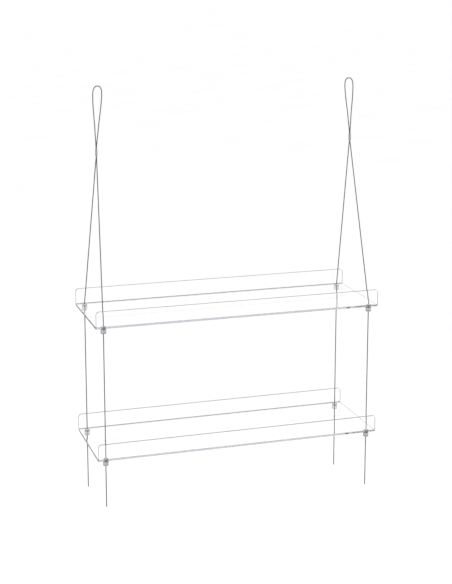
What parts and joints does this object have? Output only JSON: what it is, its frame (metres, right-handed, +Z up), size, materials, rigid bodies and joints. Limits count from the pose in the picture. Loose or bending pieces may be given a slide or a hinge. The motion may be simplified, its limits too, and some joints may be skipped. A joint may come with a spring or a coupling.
{
  "type": "hanging plant shelf",
  "caption": "Hanging plant shelf: two clear channel trays, one above the other, carried at their corners by looped wire rope slings and push-to-release rope grips.",
  "frame": {"origin": "midway between the tops of the two hanging loops, where the hooks hold them", "axes": "+X along the trays to the right, +Y to the back, +Z up"},
  "size_m": [0.4572, 0.1524, 0.6756],
  "materials": {
    "clear_sheet": "clear cast acrylic sheet with polished edges",
    "wire_rope": "bright stranded wire rope, lightly dulled",
    "ferrule": "crimped bare aluminium",
    "grip_body": "turned and nickel plated",
    "button": "polished and nickel plated",
    "collet": "turned brass",
    "spring": "drawn spring wire"
  },
  "bodies": {
    "slings": {"left_rope": "wire_rope", "left_ferrule": "ferrule", "right_rope": "wire_rope", "right_ferrule": "ferrule", "upper_front_left_grip_shell": "grip_body", "upper_front_left_grip_cap": "grip_body", "upper_front_left_spring": "spring", "upper_front_right_grip_shell": "grip_body", "upper_front_right_grip_cap": "grip_body", "upper_front_right_spring": "spring", "upper_rear_left_grip_shell": "grip_body", "upper_rear_left_grip_cap": "grip_body", "upper_rear_left_spring": "spring", "upper_rear_right_grip_shell": "grip_body", "upper_rear_right_grip_cap": "grip_body", "upper_rear_right_spring": "spring"},
    "upper_tray": {"upper_tray": "clear_sheet"},
    "lower_grips": {"lower_front_left_grip_shell": "grip_body", "lower_front_left_grip_cap": "grip_body", "lower_front_left_spring": "spring", "lower_front_right_grip_shell": "grip_body", "lower_front_right_grip_cap": "grip_body", "lower_front_right_spring": "spring", "lower_rear_left_grip_shell": "grip_body", "lower_rear_left_grip_cap": "grip_body", "lower_rear_left_spring": "spring", "lower_rear_right_grip_shell": "grip_body", "lower_rear_right_grip_cap": "grip_body", "lower_rear_right_spring": "spring"},
    "lower_tray": {"lower_tray": "clear_sheet"},
    "upper_front_left_collet": {"upper_front_left_collet": "collet", "upper_front_left_button": "button"},
    "upper_front_right_collet": {"upper_front_right_collet": "collet", "upper_front_right_button": "button"},
    "upper_rear_left_collet": {"upper_rear_left_collet": "collet", "upper_rear_left_button": "button"},
    "upper_rear_right_collet": {"upper_rear_right_collet": "collet", "upper_rear_right_button": "button"},
    "lower_front_left_collet": {"lower_front_left_collet": "collet", "lower_front_left_button": "button"},
    "lower_front_right_collet": {"lower_front_right_collet": "collet", "lower_front_right_button": "button"},
    "lower_rear_left_collet": {"lower_rear_left_collet": "collet", "lower_rear_left_button": "button"},
    "lower_rear_right_collet": {"lower_rear_right_collet": "collet", "lower_rear_right_button": "button"}
  },
  "joints": [
    {"name": "upper_tray_lift", "type": "slide", "parent": "slings", "child": "upper_tray", "axis": [0, 0, 1], "range_m": [0, 0.008]},
    {"name": "lower_tier_height", "type": "slide", "parent": "slings", "child": "lower_grips", "axis": [0, 0, 1], "range_m": [-0.07, 0.12]},
    {"name": "lower_tray_lift", "type": "slide", "parent": "lower_grips", "child": "lower_tray", "axis": [0, 0, 1], "range_m": [0, 0.05]},
    {"name": "upper_front_left_release", "type": "slide", "parent": "slings", "child": "upper_front_left_collet", "axis": [0, 0, -1], "range_m": [0, 0.001], "stiffness_N_per_m": 800, "springref_m": -0.002, "deforming": ["upper_front_left_spring"]},
    {"name": "upper_front_right_release", "type": "slide", "parent": "slings", "child": "upper_front_right_collet", "axis": [0, 0, -1], "range_m": [0, 0.001], "stiffness_N_per_m": 800, "springref_m": -0.002, "deforming": ["upper_front_right_spring"]},
    {"name": "upper_rear_left_release", "type": "slide", "parent": "slings", "child": "upper_rear_left_collet", "axis": [0, 0, -1], "range_m": [0, 0.001], "stiffness_N_per_m": 800, "springref_m": -0.002, "deforming": ["upper_rear_left_spring"]},
    {"name": "upper_rear_right_release", "type": "slide", "parent": "slings", "child": "upper_rear_right_collet", "axis": [0, 0, -1], "range_m": [0, 0.001], "stiffness_N_per_m": 800, "springref_m": -0.002, "deforming": ["upper_rear_right_spring"]},
    {"name": "lower_front_left_release", "type": "slide", "parent": "lower_grips", "child": "lower_front_left_collet", "axis": [0, 0, -1], "range_m": [0, 0.001], "stiffness_N_per_m": 800, "springref_m": -0.002, "deforming": ["lower_front_left_spring"]},
    {"name": "lower_front_right_release", "type": "slide", "parent": "lower_grips", "child": "lower_front_right_collet", "axis": [0, 0, -1], "range_m": [0, 0.001], "stiffness_N_per_m": 800, "springref_m": -0.002, "deforming": ["lower_front_right_spring"]},
    {"name": "lower_rear_left_release", "type": "slide", "parent": "lower_grips", "child": "lower_rear_left_collet", "axis": [0, 0, -1], "range_m": [0, 0.001], "stiffness_N_per_m": 800, "springref_m": -0.002, "deforming": ["lower_rear_left_spring"]},
    {"name": "lower_rear_right_release", "type": "slide", "parent": "lower_grips", "child": "lower_rear_right_collet", "axis": [0, 0, -1], "range_m": [0, 0.001], "stiffness_N_per_m": 800, "springref_m": -0.002, "deforming": ["lower_rear_right_spring"]}
  ]
}
